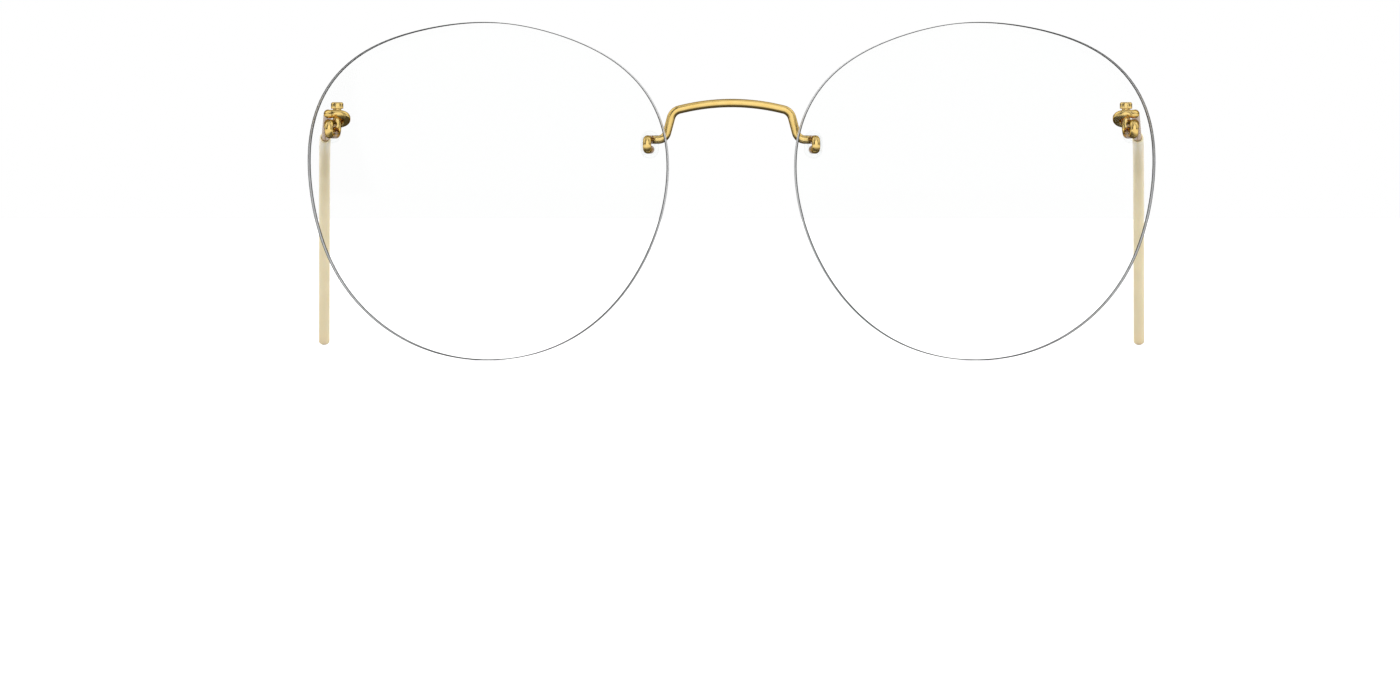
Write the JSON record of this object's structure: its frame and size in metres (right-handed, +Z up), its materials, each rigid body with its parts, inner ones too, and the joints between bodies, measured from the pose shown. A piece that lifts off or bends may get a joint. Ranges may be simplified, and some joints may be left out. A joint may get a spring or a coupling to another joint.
{
  "type": "rimless eyeglasses",
  "caption": "Rimless eyeglasses with drilled panto lenses, a bent wire bridge, coiled wire hinges and thin wire temples with soft ear sleeves.",
  "frame": {"origin": "on the floor, midway between the two lenses and midway along the whole length of the open glasses", "axes": "+X is the wearer's left, +Y runs back along the temples towards the ears, +Z is up; the front of the glasses faces -Y"},
  "size_m": [0.124, 0.1468, 0.0461],
  "materials": {
    "clear_lens": "polished",
    "gold_wire": "polished",
    "soft_sleeve": "satin",
    "clear_bushing": "gloss"
  },
  "bodies": {
    "front": {"left_lens": "clear_lens", "right_lens": "clear_lens", "bridge": "gold_wire", "left_hinge_wire": "gold_wire", "right_hinge_wire": "gold_wire", "left_nasal_bushing": "clear_bushing", "left_temporal_bushing": "clear_bushing", "right_nasal_bushing": "clear_bushing", "right_temporal_bushing": "clear_bushing"},
    "left_temple": {"left_temple_wire": "gold_wire", "left_temple_sleeve": "soft_sleeve"},
    "right_temple": {"right_temple_wire": "gold_wire", "right_temple_sleeve": "soft_sleeve"}
  },
  "joints": [
    {"name": "left_temple_fold", "type": "hinge", "parent": "front", "child": "left_temple", "pos_m": [0.05408, -0.06037, 0.03083], "axis": [0, 0, 1], "range_deg": [-3, 91.5]},
    {"name": "right_temple_fold", "type": "hinge", "parent": "front", "child": "right_temple", "pos_m": [-0.05408, -0.06037, 0.03083], "axis": [0, 0, -1], "range_deg": [-3, 88.5]}
  ]
}
